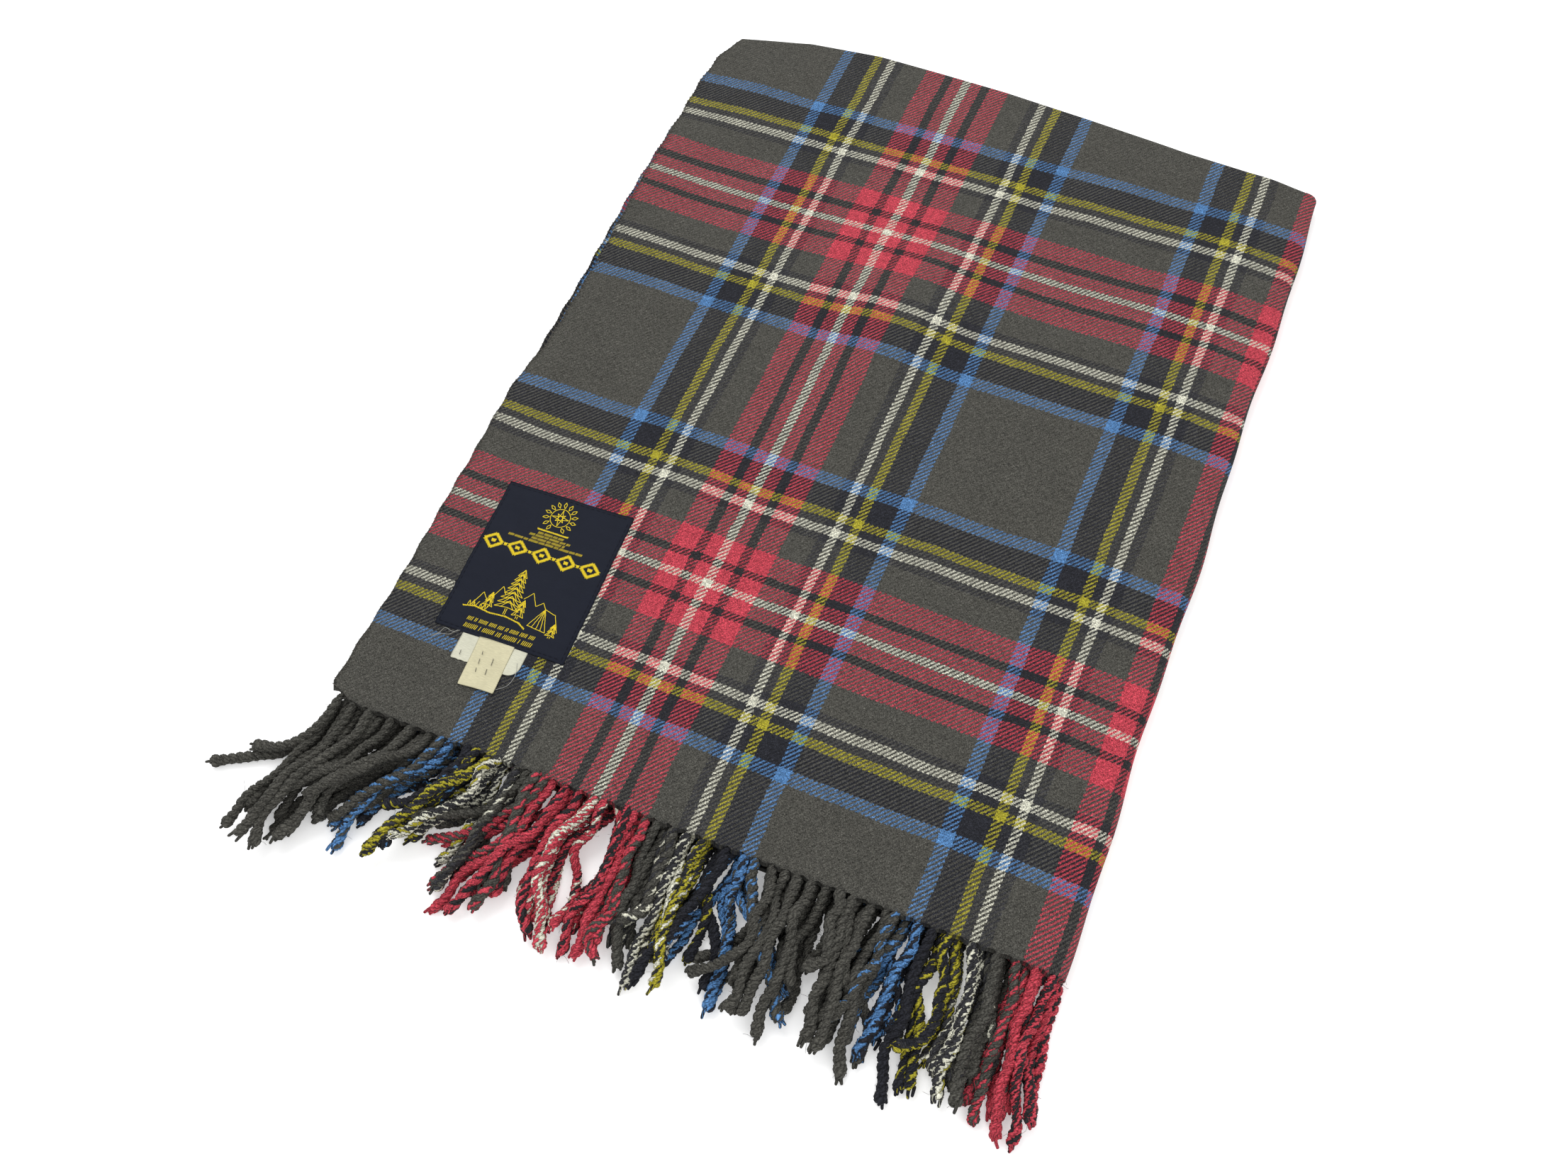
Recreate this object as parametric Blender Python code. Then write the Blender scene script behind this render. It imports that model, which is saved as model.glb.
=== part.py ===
"""A folded tartan camp blanket lying on a flat surface, in metres, +Z up, +X across, +Y away from the fringe.

The cloth is folded crosswise at its far edge and then lengthwise at its right edge, so four plies lie on each
other. The two lower plies are one body. The two upper plies, with the label and the care tags, open over the
right-hand fold like the cover of a book.
"""
import math

import bmesh
import bpy
from mathutils import Matrix, Vector

# Cloth
PANEL_WIDTH = 0.364
PANEL_LENGTH = 0.474
PLY = 0.0037
GAP = 0.0003
FAR_FOLD_STEP = 0.003
EDGING_WIDTH = 0.0012

# Fringe
FRINGE_LENGTH = 0.081
TASSEL_PITCH = 0.0071
TASSEL_WIDTH = 0.0056
HEM_LENGTH = 0.004
CORNER_SLOT = 0.007
TIP_SEGMENTS = 4

# The pair of tassels that lies apart from the fringe at the near left corner
STRAY_RADIUS = 0.0029
STRAY_REACH = 0.0322
STRAY_INSET = 0.0015
STRAY_TIP_TILT = 0.6
# Each step is (shares of the radius ahead of the pivot, share of the full thickness)
ROUND_START = ((0.9, 0.4), (0.6, 0.8))

# Label and care tags
LABEL_WIDTH = 0.070
LABEL_HEIGHT = 0.086
LABEL_THICKNESS = 0.0008
LABEL_TURN = math.radians(1.7)
LABEL_FROM_LEFT = 0.060
LABEL_FROM_HEM = 0.096
SEAM_WIDTH = 0.001
TAG_CLEARANCE = 0.0016
TAG_THICKNESS = 0.0003
CARE_TAG_WIDTH = 0.036
CARE_TAG_LENGTH = 0.015
CARE_TAG_SHIFT = -0.0014
SIZE_TAG_WIDTH = 0.019
SIZE_TAG_LENGTH = 0.026
SIZE_TAG_SHIFT = -0.0005
TAG_CORNER = 0.003

ROLL_SEGMENTS = 6
STRAY_SIDES_RESOLUTION = 2

# Heights: each half of the stack is two plies
HALF = 2 * PLY + GAP
UPPER_Z = HALF + GAP
TOP_Z = UPPER_Z + HALF
LABEL_Z = TOP_Z + GAP
CARE_TAG_Z = LABEL_Z
SIZE_TAG_Z = CARE_TAG_Z + TAG_THICKNESS + GAP
TAG_HINGE_Z = (CARE_TAG_Z + SIZE_TAG_Z + TAG_THICKNESS) / 2
PROUD_Z = max(LABEL_Z + LABEL_THICKNESS, SIZE_TAG_Z + TAG_THICKNESS)
HINGE_Z = PROUD_Z / 2

# Plan: the origin is below the middle of the whole outline
RIGHT_X = (PANEL_WIDTH + STRAY_REACH) / 2
LEFT_X = RIGHT_X - PANEL_WIDTH
FAR_Y = (PANEL_LENGTH + FRINGE_LENGTH) / 2
HEM_Y = FAR_Y - PANEL_LENGTH
UPPER_FAR_Y = FAR_Y - FAR_FOLD_STEP
CLOTH_X = LEFT_X + EDGING_WIDTH + GAP
FLAT_RIGHT_X = RIGHT_X - HALF

BROWN_GREY = (0.088, 0.084, 0.074)
BLUE = (0.12, 0.24, 0.46)
NAVY = (0.022, 0.024, 0.032)
WHITE = (0.72, 0.70, 0.60)
RED = (0.40, 0.08, 0.09)
YELLOW = (0.40, 0.37, 0.04)
LABEL_NAVY = (0.010, 0.012, 0.030)
CREAM = (0.76, 0.70, 0.56)
# One colour for each group of a row's tassels, from the left
FRINGE_COLOURS = (BROWN_GREY, NAVY, RED, WHITE, BLUE, YELLOW, RED)


def clear_scene():
    for obj in list(bpy.data.objects):
        bpy.data.objects.remove(obj, do_unlink=True)


def material(name, colour, roughness):
    made = bpy.data.materials.new(name)
    made.use_nodes = True
    shader = made.node_tree.nodes["Principled BSDF"]
    shader.inputs["Base Color"].default_value = (*colour, 1.0)
    shader.inputs["Roughness"].default_value = roughness
    shader.inputs["Metallic"].default_value = 0.0
    return made


def prism(name, outline, start, length, place, made):
    """A closed solid from a 2-D outline. place turns (u, v, w) into a point, where w runs along the length."""
    bm = bmesh.new()
    ring = [bm.verts.new(place(u, v, start)) for u, v in outline]
    face = bm.faces.new(ring)
    grown = bmesh.ops.extrude_face_region(bm, geom=[face])["geom"]
    step = Vector(place(0, 0, start + length)) - Vector(place(0, 0, start))
    bmesh.ops.translate(bm, vec=step, verts=[g for g in grown if isinstance(g, bmesh.types.BMVert)])
    bmesh.ops.recalc_face_normals(bm, faces=bm.faces)
    mesh = bpy.data.meshes.new(name)
    bm.to_mesh(mesh)
    bm.free()
    mesh.materials.append(made)
    obj = bpy.data.objects.new(name, mesh)
    bpy.context.collection.objects.link(obj)
    return obj


def across(u, v, w):
    """Outline in XZ, length along Y."""
    return (u, w, v)


def along(u, v, w):
    """Outline in YZ, length along X."""
    return (w, u, v)


def upright(u, v, w):
    """Outline in XY, length along Z."""
    return (u, v, w)


def arc(centre, radius, start, end, segments):
    points = []
    for i in range(segments + 1):
        turn = math.radians(start + (end - start) * i / segments)
        points.append((centre[0] + radius * math.cos(turn), centre[1] + radius * math.sin(turn)))
    return points


def flipped(outline, middle):
    """The outline mirrored in height about the gap between the halves."""
    return [(u, 2 * middle - v) for u, v in outline]


def outer_ply_outline():
    """The outermost ply of the lower half, whose right end climbs halfway up the fold."""
    centre = (FLAT_RIGHT_X, HALF)
    outside = arc(centre, HALF, -90, 0, ROLL_SEGMENTS)
    inside = arc(centre, HALF - PLY, 0, -90, ROLL_SEGMENTS)
    return [(CLOTH_X, 0.0), *outside, *inside, (CLOTH_X, PLY)]


def inner_ply_outline():
    """The ply inside it, which ends in a quarter round."""
    low = PLY + GAP
    end = arc((FLAT_RIGHT_X, HALF), PLY, -90, 0, ROLL_SEGMENTS)
    return [(CLOTH_X, low), *end, (CLOTH_X, HALF)]


def far_fold_outline(low, far):
    """The half round where two plies turn into each other at the far edge."""
    radius = HALF / 2
    return arc((far - radius, low + radius), radius, -90, 90, 2 * ROLL_SEGMENTS)


def build_cloth():
    made = material("wool_tartan", BROWN_GREY, 0.95)
    middle = (HALF + UPPER_Z) / 2
    plies = (
        ("lower_outer_ply", outer_ply_outline(), FAR_Y),
        ("lower_inner_ply", inner_ply_outline(), FAR_Y),
        ("upper_inner_ply", flipped(inner_ply_outline(), middle), UPPER_FAR_Y),
        ("upper_outer_ply", flipped(outer_ply_outline(), middle), UPPER_FAR_Y),
    )
    for name, outline, far in plies:
        prism(name, outline, HEM_Y, far - HALF / 2 - GAP - HEM_Y, across, made)
    for name, low, far in (("lower_far_fold", 0.0, FAR_Y), ("upper_far_fold", UPPER_Z, UPPER_FAR_Y)):
        prism(name, far_fold_outline(low, far), CLOTH_X, FLAT_RIGHT_X - CLOTH_X, along, made)


def ply_heights():
    """(name, lowest height) of each ply, from the bottom up."""
    return (
        ("lower_outer", 0.0),
        ("lower_inner", PLY + GAP),
        ("upper_inner", UPPER_Z),
        ("upper_outer", UPPER_Z + PLY + GAP),
    )


def build_edging():
    """The overcast thread along the left edge of each ply."""
    made = material("edging_thread", WHITE, 0.8)
    for ply, low in ply_heights():
        far = UPPER_FAR_Y if ply.startswith("upper") else FAR_Y
        outline = [
            (LEFT_X, low),
            (LEFT_X + EDGING_WIDTH, low),
            (LEFT_X + EDGING_WIDTH, low + PLY),
            (LEFT_X, low + PLY),
        ]
        length = far - HALF / 2 - GAP - HEM_Y
        prism(f"{ply}_edging", outline, HEM_Y, length, across, made)


def tassel_middles():
    """The X of each tassel of a row, from the left."""
    start = LEFT_X + CORNER_SLOT
    count = int((FLAT_RIGHT_X - start) / TASSEL_PITCH)
    spare = FLAT_RIGHT_X - start - count * TASSEL_PITCH
    return [start + spare / 2 + (i + 0.5) * TASSEL_PITCH for i in range(count)]


def comb_outline(middles):
    """A strip of hem with its tassels hanging towards -Y, each with a round end."""
    top = HEM_Y - GAP
    root = top - HEM_LENGTH
    radius = TASSEL_WIDTH / 2
    tip = HEM_Y - FRINGE_LENGTH + radius
    reach = TASSEL_PITCH / 2 - GAP / 2
    points = [(middles[-1] + reach, top), (middles[0] - reach, top), (middles[0] - reach, root)]
    for x in middles:
        points.append((x - radius, root))
        points.extend(arc((x, tip), radius, 180, 360, TIP_SEGMENTS))
        points.append((x + radius, root))
    points.append((middles[-1] + reach, root))
    return points


def build_fringe():
    middles = tassel_middles()
    groups = len(FRINGE_COLOURS)
    for ply, low in ply_heights():
        for group, colour in enumerate(FRINGE_COLOURS):
            first = group * len(middles) // groups
            last = (group + 1) * len(middles) // groups
            name = f"{ply}_fringe_{group + 1}"
            made = material(name + "_yarn", colour, 0.95)
            prism(name, comb_outline(middles[first:last]), low, PLY, upright, made)


def stray_tassel(name, route, pivot, made):
    """A round cord along route, offsets from the pivot, with a rounded start that can turn in place."""
    curve = bpy.data.curves.new(name, "CURVE")
    curve.dimensions = "3D"
    curve.bevel_depth = STRAY_RADIUS
    curve.bevel_resolution = STRAY_SIDES_RESOLUTION
    curve.use_fill_caps = True
    height = route[0][2]
    points = [(0.0, ahead * STRAY_RADIUS, height, size) for ahead, size in ROUND_START]
    points += [(x, y, z, 1.0) for x, y, z in route]
    spline = curve.splines.new("POLY")
    spline.points.add(len(points) - 1)
    for point, (x, y, z, size) in zip(spline.points, points):
        point.co = (x, y, z, 1.0)
        point.radius = size
    curve.materials.append(made)
    obj = bpy.data.objects.new(name, curve)
    obj.location = (pivot[0], pivot[1], 0.0)
    bpy.context.collection.objects.link(obj)
    return obj


def build_stray_tassels():
    made = material("stray_yarn", BROWN_GREY, 0.95)
    pivot = (LEFT_X + STRAY_INSET, HEM_Y - GAP - STRAY_RADIUS)
    low = STRAY_RADIUS + GAP / 2
    high = 3 * STRAY_RADIUS + 2 * GAP
    tip = -(STRAY_REACH + STRAY_INSET) + STRAY_TIP_TILT * STRAY_RADIUS
    long_route = [
        (0.0, 0.0, low),
        (-0.0005, -0.0090, low),
        (-0.0020, -0.0180, low),
        (-0.0060, -0.0270, low),
        (-0.0170, -0.0370, low),
        (-0.0250, -0.0435, low),
        (tip, -0.0490, low),
    ]
    short_route = [
        (0.0, 0.0, high),
        (-0.0005, -0.0090, high),
        (-0.0020, -0.0180, high),
        (-0.0060, -0.0250, high),
        (-0.0110, -0.0285, 0.0086),
        (-0.0165, -0.0305, 0.0078),
        (-0.0235, -0.0315, 0.0060),
    ]
    stray_tassel("stray_tassel_long", long_route, pivot, made)
    stray_tassel("stray_tassel_short", short_route, pivot, made)


def on_label():
    """Turns (u, v) measured from the middle of the label into the object's frame."""
    middle = Vector((LEFT_X + LABEL_FROM_LEFT, HEM_Y + LABEL_FROM_HEM, 0.0))
    return Matrix.Translation(middle) @ Matrix.Rotation(LABEL_TURN, 4, "Z")


def rectangle(left, right, low, high):
    return [(left, low), (right, low), (right, high), (left, high)]


def label_plate(name, outline, low, thickness, made):
    """A flat piece outlined in the label's own directions."""
    obj = prism(name, outline, low, thickness, upright, made)
    obj.data.transform(on_label())
    return obj


def build_label():
    woven = material("label_satin", LABEL_NAVY, 0.5)
    thread = material("label_thread", LABEL_NAVY, 0.7)
    half_width = LABEL_WIDTH / 2
    half_height = LABEL_HEIGHT / 2
    outline = rectangle(-half_width, half_width, -half_height, half_height)
    label_plate("woven_label", outline, LABEL_Z, LABEL_THICKNESS, woven)
    inner_x = half_width + GAP
    inner_y = half_height + GAP
    outer_x = inner_x + SEAM_WIDTH
    outer_y = inner_y + SEAM_WIDTH
    seams = {
        "label_seam_left": rectangle(-outer_x, -inner_x, -half_height, half_height),
        "label_seam_right": rectangle(inner_x, outer_x, -half_height, half_height),
        "label_seam_top": rectangle(-half_width, half_width, inner_y, outer_y),
        "label_seam_bottom": rectangle(-half_width, half_width, -outer_y, -inner_y),
    }
    for name, seam in seams.items():
        label_plate(name, seam, LABEL_Z, LABEL_THICKNESS, thread)


def tag_outline(width, length, shift):
    """A tag that hangs from v = 0, with its two free corners rounded."""
    left = shift - width / 2
    right = shift + width / 2
    low = -length
    corner_left = arc((left + TAG_CORNER, low + TAG_CORNER), TAG_CORNER, 180, 270, 3)
    corner_right = arc((right - TAG_CORNER, low + TAG_CORNER), TAG_CORNER, 270, 360, 3)
    return [(left, 0.0), *corner_left, *corner_right, (right, 0.0)]


def build_tags():
    """Both tags turn about one line below the label's lower seam, each on an empty, the upper tag on the lower."""
    cloth = material("care_tag_satin", (0.80, 0.80, 0.78), 0.45)
    tape = material("size_tag_tape", CREAM, 0.6)
    line = -LABEL_HEIGHT / 2 - GAP - SEAM_WIDTH - TAG_CLEARANCE
    tags = (
        ("care_tag", CARE_TAG_WIDTH, CARE_TAG_LENGTH, CARE_TAG_SHIFT, CARE_TAG_Z, cloth),
        ("size_tag", SIZE_TAG_WIDTH, SIZE_TAG_LENGTH, SIZE_TAG_SHIFT, SIZE_TAG_Z, tape),
    )
    parent = None
    for name, width, length, shift, low, made in tags:
        hinge = bpy.data.objects.new(name + "_hinge", None)
        bpy.context.collection.objects.link(hinge)
        hinge.matrix_world = on_label() @ Matrix.Translation((0.0, line, TAG_HINGE_Z))
        outline = tag_outline(width, length, shift)
        tag = prism(name, outline, low - TAG_HINGE_Z, TAG_THICKNESS, upright, made)
        tag.parent = hinge
        if parent is not None:
            bpy.context.view_layer.update()
            hinge.parent = parent
            hinge.matrix_parent_inverse = parent.matrix_world.inverted()
        parent = hinge


def hang_on_fold():
    """Parents what opens to an empty on the axis of the right-hand fold."""
    fold = bpy.data.objects.new("fold_hinge", None)
    fold.location = (RIGHT_X, 0.0, HINGE_Z)
    bpy.context.collection.objects.link(fold)
    bpy.context.view_layer.update()
    for obj in list(bpy.data.objects):
        if obj.parent is None and obj.name.startswith(("upper_", "woven_", "label_", "care_tag_hinge")):
            obj.parent = fold
            obj.matrix_parent_inverse = fold.matrix_world.inverted()


def main():
    clear_scene()
    build_cloth()
    build_edging()
    build_fringe()
    build_stray_tassels()
    build_label()
    build_tags()
    hang_on_fold()


main()
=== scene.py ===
"""Looks for the folded camp blanket: tartan wool, twisted fringe, woven label and two care tags."""

import math

import bpy
import numpy as np
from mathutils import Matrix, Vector


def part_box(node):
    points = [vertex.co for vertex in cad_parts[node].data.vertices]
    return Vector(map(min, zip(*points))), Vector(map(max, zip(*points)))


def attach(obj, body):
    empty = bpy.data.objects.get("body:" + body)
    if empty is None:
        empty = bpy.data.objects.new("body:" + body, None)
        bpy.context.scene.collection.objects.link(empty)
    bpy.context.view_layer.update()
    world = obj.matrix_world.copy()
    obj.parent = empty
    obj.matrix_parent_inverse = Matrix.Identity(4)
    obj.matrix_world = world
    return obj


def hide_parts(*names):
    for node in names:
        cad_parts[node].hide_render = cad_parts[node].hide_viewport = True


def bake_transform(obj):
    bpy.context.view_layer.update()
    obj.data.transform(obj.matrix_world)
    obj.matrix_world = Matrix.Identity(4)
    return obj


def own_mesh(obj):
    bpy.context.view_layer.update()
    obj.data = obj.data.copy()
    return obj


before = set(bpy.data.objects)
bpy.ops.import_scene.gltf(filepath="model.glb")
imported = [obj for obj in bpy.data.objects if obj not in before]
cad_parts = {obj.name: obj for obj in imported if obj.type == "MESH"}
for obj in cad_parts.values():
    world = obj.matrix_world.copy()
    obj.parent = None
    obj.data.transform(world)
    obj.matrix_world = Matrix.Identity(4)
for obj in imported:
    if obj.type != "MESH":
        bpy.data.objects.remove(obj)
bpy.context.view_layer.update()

MM = 0.001

# ---------------- the check
REPEAT = 0.23  # one repeat of the check across the blanket
REPEAT_LONG = 1.0275 * REPEAT  # one repeat along it
CHECK_AT = (-0.0226, -0.0771)  # a crossing of two white lines
CHECK_TURN = math.radians(1.288)  # the stripes lie turned against the folds
WARP_PITCH = 0.000615  # one thread of each set; the twill repeats every four
WEFT_PITCH = 0.000703
# Half of the mirrored sett: where each colour starts, as a share of the repeat.
SETT = (
    (0.0, "white"),
    (0.0088, "red"),
    (0.041, "black"),
    (0.060, "red"),
    (0.113, "ground"),
    (0.177, "dark"),
    (0.1965, "white"),
    (0.216, "dark"),
    (0.233, "yellow"),
    (0.254, "navy"),
    (0.3125, "blue"),
    (0.341, "ground"),
)
# Wool colours as 8-bit sRGB.
WOOL = {
    "white": (204, 203, 186),
    "red": (182, 64, 77),
    "black": (42, 41, 43),
    "ground": (74, 73, 68),
    "dark": (50, 50, 53),
    "yellow": (158, 150, 46),
    "navy": (37, 38, 44),
    "blue": (80, 122, 170),
}

# ---------------- the folded cloth
ply_low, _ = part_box("lower_outer_ply")
_, top_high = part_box("upper_outer_ply")
FOLD_X = top_high.x  # the outside of the lengthwise fold
TOP_Z = top_high.z
HEM_Y = ply_low.y
WOOL_THICK = 0.0035
LAYER = 0.002  # half the distance between the two layers of a pair
LOWER_PAIR_Z = 0.00385
UPPER_PAIR_Z = 0.01185
ROLL_R = (UPPER_PAIR_Z - LOWER_PAIR_Z) / 2
ROLL_Z = (UPPER_PAIR_Z + LOWER_PAIR_Z) / 2
ROLL_X = FOLD_X - ROLL_R - LAYER - WOOL_THICK / 2
MOST_LIFT = 0.0076
INNER_HEM_STEP = 0.0015  # the inner layer's hem lies this far in from the outer one's
CLEAR_OF_TURN = 0.00006
TASSELS = 49
GROUP = 7

FLAT_COLUMNS = 147
ROLL_COLUMNS = 20
FLAT_ROWS = 138
FAR_ROWS = 8


def smooth(t):
    t = np.clip(t, 0.0, 1.0)
    return t * t * (3 - 2 * t)


def waves(x, y, seed, length, count=5):
    """A smooth random surface of about unit height."""
    r = np.random.default_rng(seed)
    out = 0.0
    for _ in range(count):
        heading = r.uniform(0, math.tau)
        k = math.tau / (length * r.uniform(0.7, 1.5))
        phase = r.uniform(0, math.tau)
        out = out + np.sin(k * (x * math.cos(heading) + y * math.sin(heading)) + phase)
    return out / math.sqrt(count)


def left_edge(y, layer):
    """Where a layer's left edge runs; layer 1 is the outer one and -1 the inner one."""
    outer = np.interp(
        y,
        (-0.197, -0.19, -0.183, -0.12, -0.05, 0.0, 0.03, 0.10, 0.17, 0.235, 0.258, 0.272, 0.283),
        (
            *(-0.1672, -0.1716, -0.1712, -0.1688, -0.169, -0.1705, -0.1655),
            *(-0.1645, -0.166, -0.1668, -0.1645, -0.159, -0.151),
        ),
    )
    inner = np.interp(
        y,
        (-0.197, -0.05, 0.02, 0.10, 0.2, 0.258, 0.283),
        (-0.1700, -0.170, -0.1700, -0.1695, -0.1690, -0.165, -0.152),
    )
    return np.where(layer > 0, outer, inner) + 0.0004 * np.sin(y * 310)


def far_upper(x):
    """Middle line of the far fold of the upper pair."""
    return np.interp(
        x,
        (-0.17, -0.15, -0.13, -0.085, -0.045, 0.0, 0.055, 0.115, 0.155, 0.2),
        (0.274, 0.2790, 0.2835, 0.2864, 0.2845, 0.2818, 0.2763, 0.2693, 0.2660, 0.2618),
    )


def far_lower(x):
    return np.interp(x, (-0.17, 0.02, 0.09, 0.2), (0.2720, 0.2775, 0.2765, 0.2640))


def lift(x, y):
    """How far the two upper plies stand off the lower ones."""
    hump = 0.0085 * np.exp(-(((x - 0.0104) / 0.026) ** 2) - ((y - 0.108) / 0.05) ** 2)
    calm = smooth((ROLL_X - x) / 0.03) * smooth((y - HEM_Y) / 0.03) * smooth((0.283 - y) / 0.03)
    ripple = 0.0007 * (1 + waves(x, y, 3, 0.13)) + 0.00035 * waves(x, y, 4, 0.05)
    rise = calm * (hump + np.maximum(ripple, 0))
    # Opened out, the lifted plies hang below the fold, so the rise stays within their room.
    return rise / (1 + (rise / MOST_LIFT) ** 6) ** (1 / 6)


def pressed(x, z):
    """Height of a point once the plies have thinned towards the long fold."""
    keep = 1 - 0.35 * smooth((x - 0.164) / 0.036)
    return ROLL_Z + (z - ROLL_Z) * keep


def sheet_grid():
    """Middle surface of the whole blanket: points and check coordinates."""
    flat = np.linspace(0, 1, FLAT_COLUMNS)
    bend = np.linspace(0, math.pi, ROLL_COLUMNS + 2)[1:-1]
    share = np.concatenate([flat, np.ones(ROLL_COLUMNS), flat[::-1]])
    turn = np.concatenate([np.zeros(FLAT_COLUMNS), bend, np.full(FLAT_COLUMNS, math.pi)])
    up = np.linspace(0, 1, FLAT_ROWS)
    over = np.linspace(0, math.pi, FAR_ROWS + 2)[1:-1]
    along = np.concatenate([up, np.ones(FAR_ROWS), up[::-1]])
    tip = np.concatenate([np.zeros(FLAT_ROWS), over, np.full(FLAT_ROWS, math.pi)])

    share, along = np.meshgrid(share, along, indexing="ij")
    turn, tip = np.meshgrid(turn, tip, indexing="ij")
    layer = np.cos(tip)
    x0 = -0.168 + share * (ROLL_X + 0.168)
    upper = turn / math.pi
    far = far_upper(x0) * upper + far_lower(x0) * (1 - upper)
    hem = HEM_Y + np.where(layer > 0, 0.0, INNER_HEM_STEP)
    hem = hem + 0.0045 * smooth((-0.156 - x0) / 0.012)
    scallop = np.cos(math.tau * TASSELS * share) * 0.0007 * smooth(1 - along * 60)
    y = hem + along * (far - hem) + LAYER * np.sin(tip) - scallop * (turn > 3)
    start = left_edge(y, layer)
    x_flat = start + share * (ROLL_X - start)
    wave = 0.0008 * np.sin(y * 37 + 1) + 0.0005 * np.sin(y * 91)
    x_roll = ROLL_X + wave
    out = ROLL_R + LAYER * layer
    rolling = (turn > 0) & (turn < math.pi)
    x = np.where(rolling, x_roll + out * np.sin(turn), x_flat + wave * share**8)
    z = ROLL_Z - out * np.cos(turn)
    z = pressed(x, z + lift(x, y) * (turn == math.pi))

    reach = ROLL_R + LAYER + WOOL_THICK / 2
    # The inner layer crosses the fold in one step, so the checks stay whole when it opens.
    step = np.where(turn < math.pi / 2, 0.0, math.pi)
    inner = (1 - layer) / 2
    across = x_roll + reach * (math.pi - turn * (1 - inner) - step * inner)
    across = np.where(turn == math.pi, x, across)
    across = np.where(turn == 0, x_roll + reach * math.pi + (ROLL_X - x), across)
    fold_y = far + LAYER
    lengthwise = np.where(layer > 0, y, 2 * fold_y - y)
    return np.stack([x, y, z], -1), check_uv(across, lengthwise)


def check_uv(x, y):
    """Coordinates along the two sets of threads, in metres."""
    c, s = math.cos(CHECK_TURN), math.sin(CHECK_TURN)
    dx, dy = x - CHECK_AT[0], y - CHECK_AT[1]
    return np.stack([dx * c - dy * s, (dx * s + dy * c)], -1)


# ---------------- mesh helpers
def lengths_along(points):
    """How far along a line each of its points lies."""
    steps = np.linalg.norm(np.diff(points, axis=0), axis=1)
    return np.concatenate([[0], np.cumsum(steps)])


def put_in_scene(name, data):
    made = bpy.data.objects.new(name, data)
    bpy.context.scene.collection.objects.link(made)
    return made


def make_mesh(name, points, quads, uvs=None, material=None, body=None):
    """A mesh object from arrays; uvs maps a layer name to per-corner or per-point pairs."""
    mesh = bpy.data.meshes.new(name)
    points = np.asarray(points, np.float32).reshape(-1, 3)
    quads = np.asarray(quads, np.int32)
    sides = quads.shape[1]
    mesh.vertices.add(len(points))
    mesh.vertices.foreach_set("co", points.ravel())
    mesh.loops.add(quads.size)
    mesh.loops.foreach_set("vertex_index", quads.ravel())
    mesh.polygons.add(len(quads))
    mesh.polygons.foreach_set("loop_start", np.arange(0, quads.size, sides, dtype=np.int32))
    mesh.polygons.foreach_set("loop_total", np.full(len(quads), sides, np.int32))
    mesh.update(calc_edges=True)
    mesh.polygons.foreach_set("use_smooth", np.full(len(quads), True))
    for layer_name, values in (uvs or {}).items():
        values = np.asarray(values, np.float32)
        if values.shape[0] == len(points):
            values = values[quads.ravel()]
        mesh.uv_layers.new(name=layer_name).data.foreach_set("uv", values.ravel())
    mesh.validate()
    piece = put_in_scene(name, mesh)
    if material is not None:
        mesh.materials.append(material)
    if body is not None:
        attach(piece, body)
    return piece


def grid_quads(rows, columns, offset=0, flip=False):
    i, j = np.meshgrid(np.arange(rows - 1), np.arange(columns - 1), indexing="ij")
    a = (i * columns + j).ravel() + offset
    quads = np.stack([a, a + columns, a + columns + 1, a + 1], -1)
    return quads[:, ::-1] if flip else quads


def grid_normals(points):
    du = np.gradient(points, axis=0)
    dv = np.gradient(points, axis=1)
    n = np.cross(du, dv)
    return n / np.maximum(np.linalg.norm(n, axis=-1, keepdims=True), 1e-12)


def border_of(rows, columns):
    """Point indices once round a grid."""
    index = np.arange(rows * columns).reshape(rows, columns)
    return np.concatenate([index[:, 0], index[-1, 1:], index[-2::-1, -1], index[0, -2:0:-1]])


def thick_sheet(points, uv, thickness, bulge):
    """Both faces of a grid and a rounded rim: points, quads and per-point coordinates."""
    rows, columns = points.shape[:2]
    n = grid_normals(points)
    top = points + n * thickness / 2
    bottom = points - n * thickness / 2
    count = rows * columns
    loop = border_of(rows, columns)
    flat = points.reshape(-1, 3)
    out = outward(points).reshape(-1, 3)[loop]
    rim = flat[loop] + out * bulge
    rim_at = 2 * count + np.arange(len(loop))
    following = np.roll(rim_at, -1)
    ahead = np.roll(loop, -1)
    skirts = [
        np.stack([loop, ahead, following, rim_at], -1),
        np.stack([rim_at, following, ahead + count, loop + count], -1),
    ]
    quads = np.concatenate(
        [grid_quads(rows, columns), grid_quads(rows, columns, count, True)] + skirts
    )
    verts = np.concatenate([top.reshape(-1, 3), bottom.reshape(-1, 3), rim])
    coords = np.concatenate([uv.reshape(-1, 2), uv.reshape(-1, 2), uv.reshape(-1, 2)[loop]])
    return verts, quads, coords


def clear_of_turn(verts, rows, columns):
    """Moves what lies at the fold's turning height off it, each column to its own leaf's side."""
    loop = border_of(rows, columns)
    row = np.concatenate([np.arange(rows * columns) // columns] * 2 + [loop // columns])
    rise = verts[:, 2] - ROLL_Z
    side = np.where(row < rows // 2, -1.0, 1.0)
    verts[:, 2] = ROLL_Z + side * np.maximum(rise * side, CLEAR_OF_TURN)
    return verts


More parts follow.
